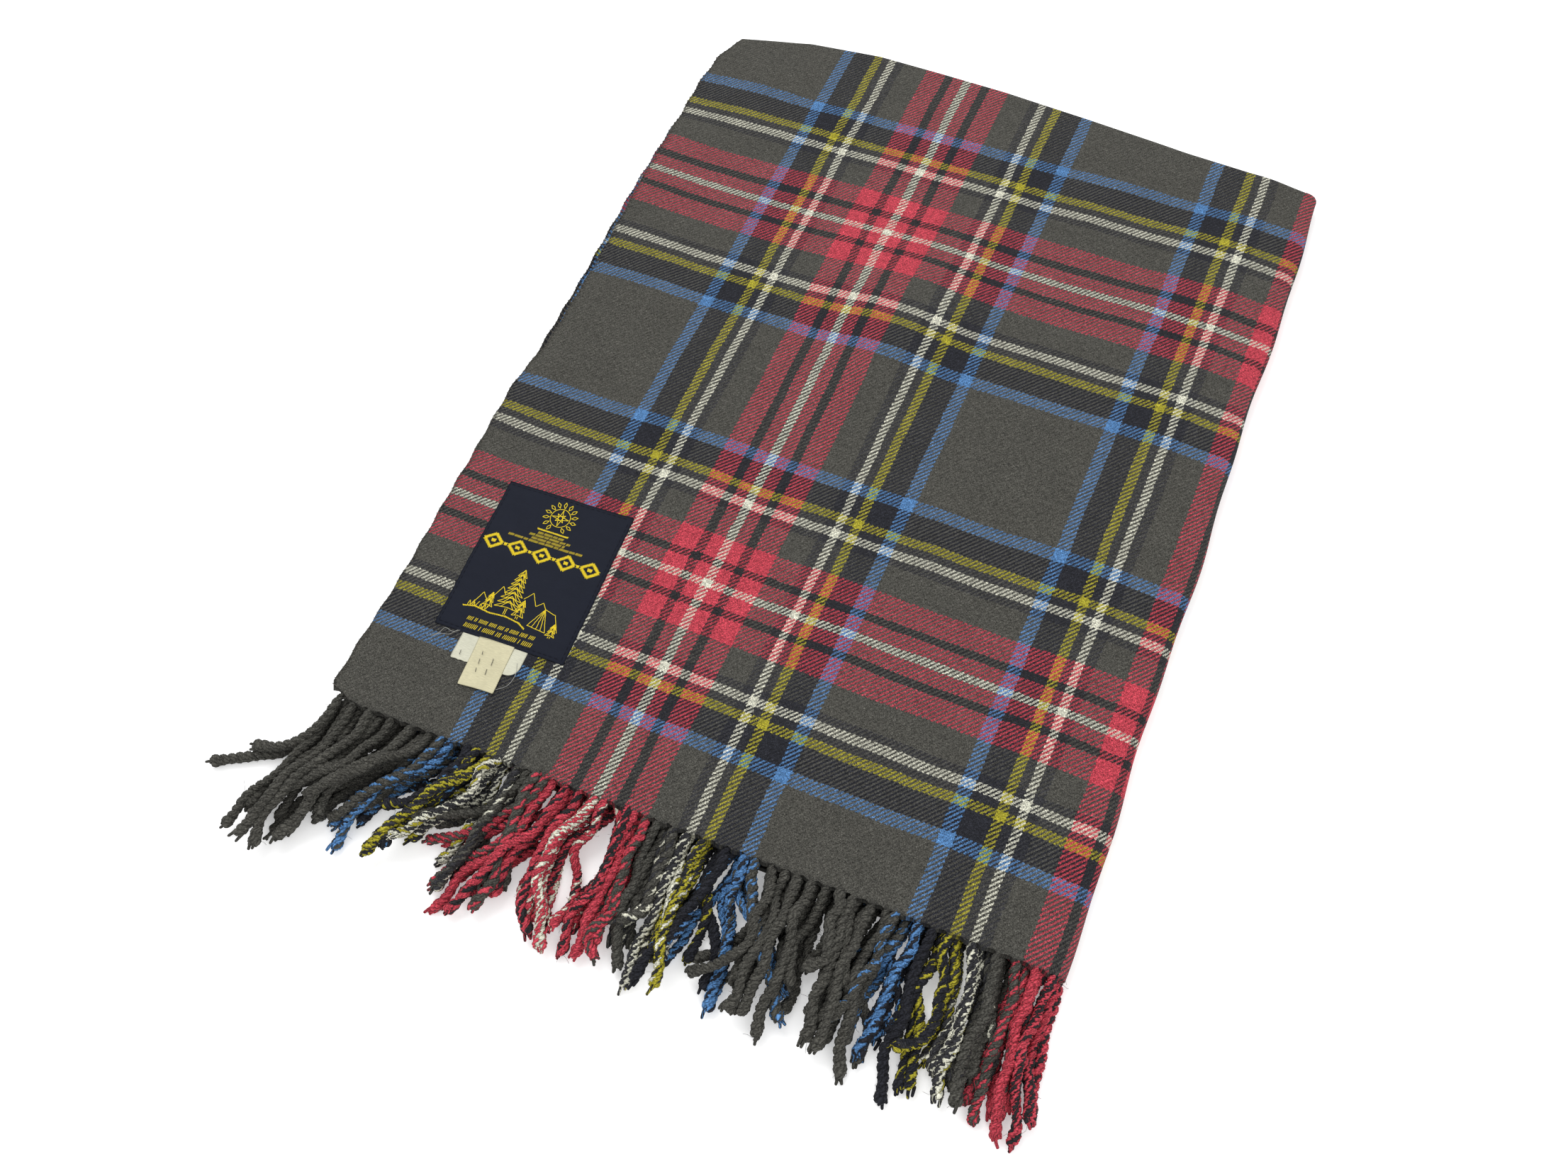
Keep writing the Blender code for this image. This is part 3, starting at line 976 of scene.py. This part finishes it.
STRAY_ROUTES = {
    "stray_tassel_long": (
        *((-3, 2, 3.05), (-8, -10, 3.05), (-12, -19, 3.05), (-18, -28, 3.05)),
        *((-30, -35, 3.05), (-41, -41, 3.05), (-49, -45.5, 3.1)),
    ),
    "stray_tassel_short": (
        *((-2, 3, 9.5), (-5, -10, 9.3), (-9, -19, 9.0), (-14, -25, 8.7)),
        *((-20, -28.5, 8.3), (-26, -30, 6.8), (-32, -31, 5.2)),
    ),
}


def stray_tassels(material):
    """The two tassels that have strayed out at the near left corner."""
    pivot = np.array((-0.1644, -0.1997, 0.0))
    r = np.random.default_rng(42)
    pieces = []
    for name, route in STRAY_ROUTES.items():
        path = curve_through(pivot + np.array(route) * MM, 60)
        bundle = Bundle()
        add_tassel(bundle, path, float(check_uv(-0.17, HEM_Y)[0]), 3.3, r)
        piece = bundle.build(f"{name}_yarn", material, "stray_tassels")
        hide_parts(name)
        pieces.append(piece)
    return pieces


# ---------------- label and tags
label_low, label_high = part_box("woven_label")
LABEL_AT = (label_low + label_high) / 2
LABEL_TURN = math.radians(1.7)
LABEL_W = 0.070
LABEL_H = 0.086


def on_label(x, y, rise=0.0):
    """Row-frame point for a place on the label, in metres from its middle."""
    c, s = math.cos(LABEL_TURN), math.sin(LABEL_TURN)
    wx = LABEL_AT.x + x * c - y * s
    wy = LABEL_AT.y + x * s + y * c
    bed = TOP_Z - 0.0001 + lift(wx, wy)
    crease = 0.00018 * waves(x, y, 11, 0.02) + 0.00012 * np.sin(y * 900) * smooth(np.abs(x) / 0.035)
    return np.stack([wx, wy, bed + 0.0006 + crease + rise], -1)


def woven_label(material):
    x, y = np.meshgrid(np.linspace(-0.5, 0.5, 57), np.linspace(-0.5, 0.5, 69), indexing="ij")
    fold_in = 1 - 0.006 * np.abs(np.sin(y * 40)) * (np.abs(x) > 0.48)
    px, py = x * LABEL_W * fold_in, y * LABEL_H
    edge = np.minimum(LABEL_W / 2 - np.abs(px), LABEL_H / 2 - np.abs(py))
    rise = 0.0002 * smooth(edge / 0.004) - 0.0003 * smooth(1 - edge / 0.0012)
    points = on_label(px, py, rise)
    uv = np.stack([px, py], -1)
    verts, quads, coords = thick_sheet(points, uv, 0.0006, 0.0002)
    label = make_mesh("woven_label_cloth", verts, quads, {"weave": coords}, material, "upper_half")
    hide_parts("woven_label")


def rounded(x, y, half, length, corners):
    """Draws a ribbon's grid in at its two free corners; corners gives left and right radii."""
    for side, radius in zip((-1, 1), corners):
        dx = side * x - (half - radius)
        dy = -y - (length - radius)
        inside = (dx > 0) & (dy > 0)
        far = np.hypot(dx, dy)
        pull = np.where(inside, np.maximum(dx, dy) / np.maximum(far, 1e-9), 1.0)
        x = np.where(inside, side * (half - radius + dx * pull), x)
        y = np.where(inside, -(length - radius + dy * pull), y)
    return x, y


def care_tags(white, cream):
    """Two ribbons from under the label: the wide white one, and the cream one over it."""
    for name, material, width, length, shift, corners, turn, rise in (
        ("care_tag", white, 0.0355, 0.0145, -0.0016, (0.001, 0.0055), 0.0, 0.0),
        ("size_tag", cream, 0.0190, 0.0258, -0.0006, (0.0005, 0.0005), 2.0, 0.0004),
    ):
        x, y = np.meshgrid(np.linspace(-1, 1, 41), np.linspace(0, -1, 41), indexing="ij")
        x, y = rounded(x * width / 2, y * length, width / 2, length, corners)
        pinking = 0.00035 * np.abs(np.sin(x * 2600)) * (y < -length * 0.97) * (x < 0)
        y = np.where(y > -0.0001, 0.0005, y + pinking * (name == "care_tag"))
        c, s = math.cos(math.radians(turn)), math.sin(math.radians(turn))
        px = shift + x * c - y * s
        py = -LABEL_H / 2 + x * s + y * c
        curl = 0.0007 * smooth(-y / length) * (0.5 + 0.5 * np.sin(x * 120 + 1))
        points = on_label(px, py, -0.0004 + rise + curl)
        verts, quads, coords = thick_sheet(points, np.stack([px, py], -1), 0.0002, 0.0001)
        tag = make_mesh(f"{name}_ribbon", verts, quads, {"weave": coords}, material, name)
        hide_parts(name)


# Each dash: x and y of its start, and its length, in millimetres from the tag's seam.
DASHES = {
    "size_tag": (
        *((-4.6, -7, 1.6), (-4.2, -11, 2.6), (-3.6, -16, 2)),
        *((2.2, -9, 3.4), (1.6, -15, 2.8)),
    ),
    "care_tag": ((-15.5, -9.5, 2.4),),
}


def tag_marks(material):
    """Faint plain dashes in place of the print on the two tags."""
    for name, rows in DASHES.items():
        bundle = Bundle()
        for x, y, size in rows:
            spot = np.linspace(0, 1, 6)
            px = (x + 0 * spot) * MM + 0.0004 * spot
            py = -LABEL_H / 2 + (y - size * spot) * MM
            line = on_label(px, py, 0.0008 if name == "size_tag" else 0.0004)
            line[:, 2] += 0.0004 * smooth(np.abs(y) * MM / 0.026)
            bundle.add(line, 0.00016, 4)
        piece = bundle.build(f"{name}_marks", material, name)


LOOSE_ENDS = (
    ((-21, -43, 0.4), (-24, -45, 0.9), (-28, -44.5, 1.3), (-30, -48, 0.9), (-34, -50, 0.3)),
    ((-22, -43, 0.4), (-25, -47, 0.8), (-29, -48, 1.0), (-33, -50.5, 0.3)),
    ((14, -50, 0.4), (16, -56, 0.9), (15, -62, 0.8), (10, -66, 0.3)),
)


def loose_ends(material):
    """Ends of sewing thread that stick out beside the tags."""
    bundle = Bundle()
    for route in LOOSE_ENDS:
        line = curve_through(np.array(route) * MM, 24)
        bundle.add(on_label(line[:, 0], line[:, 1], line[:, 2]), 0.00011, 4)
    piece = bundle.build("loose_thread_ends", material, "upper_half")


def label_stitches(material):
    """Running stitches that hold the label down, just inside its edge."""
    runs = {
        "left": ((-1, -1), (-1, 1)),
        "right": ((1, -1), (1, 1)),
        "top": ((-1, 1), (1, 1)),
        "bottom": ((-1, -1), (1, -1)),
    }
    inset, stitch, gap = 0.0016, 0.0021, 0.0009
    for side, (a, b) in runs.items():
        a = np.array(a) * (LABEL_W / 2 - inset, LABEL_H / 2 - inset)
        b = np.array(b) * (LABEL_W / 2 - inset, LABEL_H / 2 - inset)
        span = np.linalg.norm(b - a)
        bundle = Bundle()
        for start in np.arange(0.0, span - stitch, stitch + gap):
            t = np.linspace(start, start + stitch, 7) / span
            spot = a + (b - a) * t[:, None]
            arch = 0.00018 * np.sin(np.linspace(0, math.pi, 7)) + 0.0003
            bundle.add(on_label(spot[:, 0], spot[:, 1], arch), 0.00016, 5)
        piece = bundle.build(f"label_stitches_{side}", material, "upper_half")
        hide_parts(f"label_seam_{side}")


def arc(centre, radius, start, end, count=17):
    """Points round part of a circle; angles in degrees."""
    angles = np.radians(np.linspace(start, end, count))
    return [(centre[0] + radius * math.cos(a), centre[1] + radius * math.sin(a)) for a in angles]


class Embroidery:
    """Gold threads worked on the label, drawn in millimetres from its middle."""

    def __init__(self):
        self.bundle = Bundle()
        self.random = np.random.default_rng(5)

    def thread(self, points, radius=0.21, rise=0.42):
        points = np.array(points, float)
        at = lengths_along(points)
        along = np.unique(np.concatenate([np.arange(0, at[-1], 0.8), at]))
        x, y = (np.interp(along, at, points[:, k]) for k in (0, 1))
        shake = self.random.normal(0, 0.05, (2, len(x)))
        line = on_label((x + shake[0]) * MM, (y + shake[1]) * MM, rise * MM)
        self.bundle.add(line, radius * MM, 5)

    def line(self, points, close=False):
        self.thread([*points, points[0]] if close else points)

    def satin(self, points, width, close=False, step=0.3):
        """A stroke filled with stitches that run across it."""
        points = np.array([*points, points[0]] if close else points, float)
        for a, b in zip(points, points[1:]):
            span = np.linalg.norm(b - a)
            side = np.array((-(b - a)[1], (b - a)[0])) / span * width / 2
            count = max(2, int(span / step))
            rungs = [a + (b - a) * i / count + side * (-1) ** i for i in range(count + 1)]
            self.thread(rungs, 0.22, 0.45)

    def ticks(self, x, y, end, height, groups):
        """Groups of small slanting stitches where the real label has print."""
        group = 0
        while x < end:
            for _ in range(groups[group % len(groups)]):
                if x >= end:
                    break
                self.thread([(x, y), (x + height * 0.25, y + height)], 0.2)
                x += max(0.75, height * 0.42)
            x += height * 0.45
            group += 1


ROSETTE = (-1.0, 31.0)
BAND_Y = 8.0
PINES = ((-14.5, -27.5, 9.0), (2.5, -28.5, 11.0), (-4.5, -28.0, 26.0), (22.5, -33.0, 8.0))


def embroider_label(material):
    """A made-up design: a rosette, a band of diamonds, pines with a tent, and rows of dashes."""
    work = Embroidery()
    cx, cy = ROSETTE
    work.line(arc(ROSETTE, 5.2, 0, 360, 33))
    for k in range(8):
        turn = math.radians(45 * k)
        size = 4.6 if k % 2 == 0 else 2.9
        tip = (cx + size * math.cos(turn), cy + size * math.sin(turn))
        for side in (-1, 1):
            base = turn + side * math.radians(62)
            work.line([(cx + 1.1 * math.cos(base), cy + 1.1 * math.sin(base)), tip])
    for k in range(13):
        turn = math.radians(-60 + 25 * k)
        out = np.array((math.cos(turn), math.sin(turn)))
        side = np.array((-out[1], out[0]))
        root = np.array(ROSETTE) + out * 5.8
        leaf = [root, root + out * 1.6 + side * 1.1, root + out * 3.4 + side * 0.5]
        work.line([*leaf, root + out * 1.9 - side * 0.5, root])
    work.satin([(cx - 8.5, cy - 9.2), (cx + 8.5, cy - 9.2)], 0.9)
    for y, left, right in ((19.3, -8, 6), (17.5, -12, 10), (15.7, -10, 8), (13.9, -22, 19)):
        work.ticks(left, y, right, 1.1, (4, 6, 3, 7))

    for k in range(5):
        x = -27.5 + 13.4 * k
        diamond = [(x - 4.8, BAND_Y), (x, BAND_Y + 4), (x + 4.8, BAND_Y), (x, BAND_Y - 4)]
        work.satin(diamond, 1.7, close=True)
        work.satin([(x - 1.1, BAND_Y), (x + 1.1, BAND_Y)], 1.8, step=0.22)
        if k < 4:
            work.satin([(x + 6.0, BAND_Y), (x + 7.4, BAND_Y)], 1.6, step=0.22)

    for x, foot, height in PINES:
        for trunk in (x - 0.4, x + 0.5):
            work.line([(trunk, foot), (trunk, foot + height * 0.12)])
        tiers = max(3, int(height / 3.2))
        for t in range(tiers):
            low = foot + height * (0.12 + 0.82 * t / tiers)
            high = foot + height * min(1.0, 0.12 + 0.82 * (t + 1.7) / tiers)
            half = height * 0.24 * (1 - 0.8 * t / tiers) + 0.6
            work.line([(x, high), (x - half, low), (x, low + 0.8), (x + half, low), (x, high)])
            work.line([(x - half * 0.5, low + 0.4), (x, high), (x + half * 0.5, low + 0.4)])
    tent = [(9.5, -30.0), (14.5, -19.0), (19.5, -31.0), (9.5, -30.0)]
    work.line(tent)
    for share in (0.25, 0.5, 0.75):
        work.line([(14.5, -19.0), (9.5 + 10 * share, -30.0 - share)])
    work.line([(14.5, -19.0), (20.5, -20.5), (25.0, -29.0)])
    work.satin([(-26, -30), (-20, -28.6), (-12, -29.6), (-3, -28.9), (5, -30.2), (9, -32.4)], 0.7)
    for x in (-24, -21.5, -18, -16):
        work.line([(x, -29.2), (x + 0.6, -26.4), (x + 1.5, -28.8), (x + 2.8, -25.6)])
    work.line([(-22, -28), (-19, -20), (-15.5, -24), (-11, -14), (-8, -18)])
    work.line([(1.5, -17), (5, -12.5), (9, -19), (12, -16), (14.5, -19)])
    work.ticks(-20.5, -36.4, 17, 1.9, (4, 2, 6, 5))
    work.ticks(-20.5, -40.4, 16, 2.2, (8, 1, 7, 3))
    piece = work.bundle.build("label_embroidery", material, "upper_half")


# ---------------- stage
WHITE = (1.0, 1.0, 1.0, 1)


def studio():
    """White floor, an even sky and one large soft light from the upper left."""
    n = Nodes("studio_floor", 0.9)
    n.colour((0.9, 0.9, 0.9, 1))
    preset(n.shader, Emission_Color=WHITE, Emission_Strength=0.3)
    corners = np.array([(-3, -3, 0), (3, -3, 0), (3, 3, 0), (-3, 3, 0)], float)
    floor = make_mesh("floor", corners, [(0, 1, 2, 3)], None, n.material)
    world = bpy.data.worlds.new("studio")
    bpy.context.scene.world = world
    world.use_nodes = True
    background = world.node_tree.nodes["Background"]
    preset(background, Color=WHITE, Strength=0.85)
    for name, place, size, power in (
        ("key", (-0.7, 0.7, 1.6), 1.2, 14.0),
        ("fill", (1.2, -0.6, 1.5), 1.5, 7.0),
    ):
        light = bpy.data.lights.new(name, "AREA")
        light.shape = "DISK"
        light.size = size
        light.energy = power
        lamp = put_in_scene(name, light)
        lamp.location = place
        aim = Vector((0.0, 0.0, 0.0)) - Vector(place)
        lamp.rotation_euler = aim.to_track_quat("-Z", "Y").to_euler()
    bpy.context.scene.view_settings.view_transform = "Standard"


def camera():
    lens = bpy.data.cameras.new("camera")
    lens.lens = 33.629
    lens.sensor_width = 36.0
    lens.clip_start = 0.01
    seat = put_in_scene("camera", lens)
    seat.location = (0.18584, -0.35750, 0.64780)
    seat.rotation_euler = [math.radians(a) for a in (27.868, 4.180, 22.675)]
    bpy.context.scene.camera = seat


wool = tartan_wool()
yarn = fringe_wool()
cloth = blanket_cloth(wool)
overcast = edging(plain_thread("overcast_thread", (92, 88, 82)))
tassels = fringe(yarn) + stray_tassels(yarn)
woven_label(satin("label_navy", (21, 25, 37), contrast=0.06))
embroider_label(plain_thread("gold_thread", (232, 206, 48), 0.5))
label_stitches(plain_thread("navy_thread", (19, 22, 32)))
care_tags(
    satin("care_white", (200, 199, 180), contrast=0.03),
    satin("care_cream", (198, 192, 160), contrast=0.04),
)
tag_marks(plain_thread("tag_print", (96, 94, 88)))
loose_ends(plain_thread("loose_thread", (176, 176, 170)))
studio()
camera()
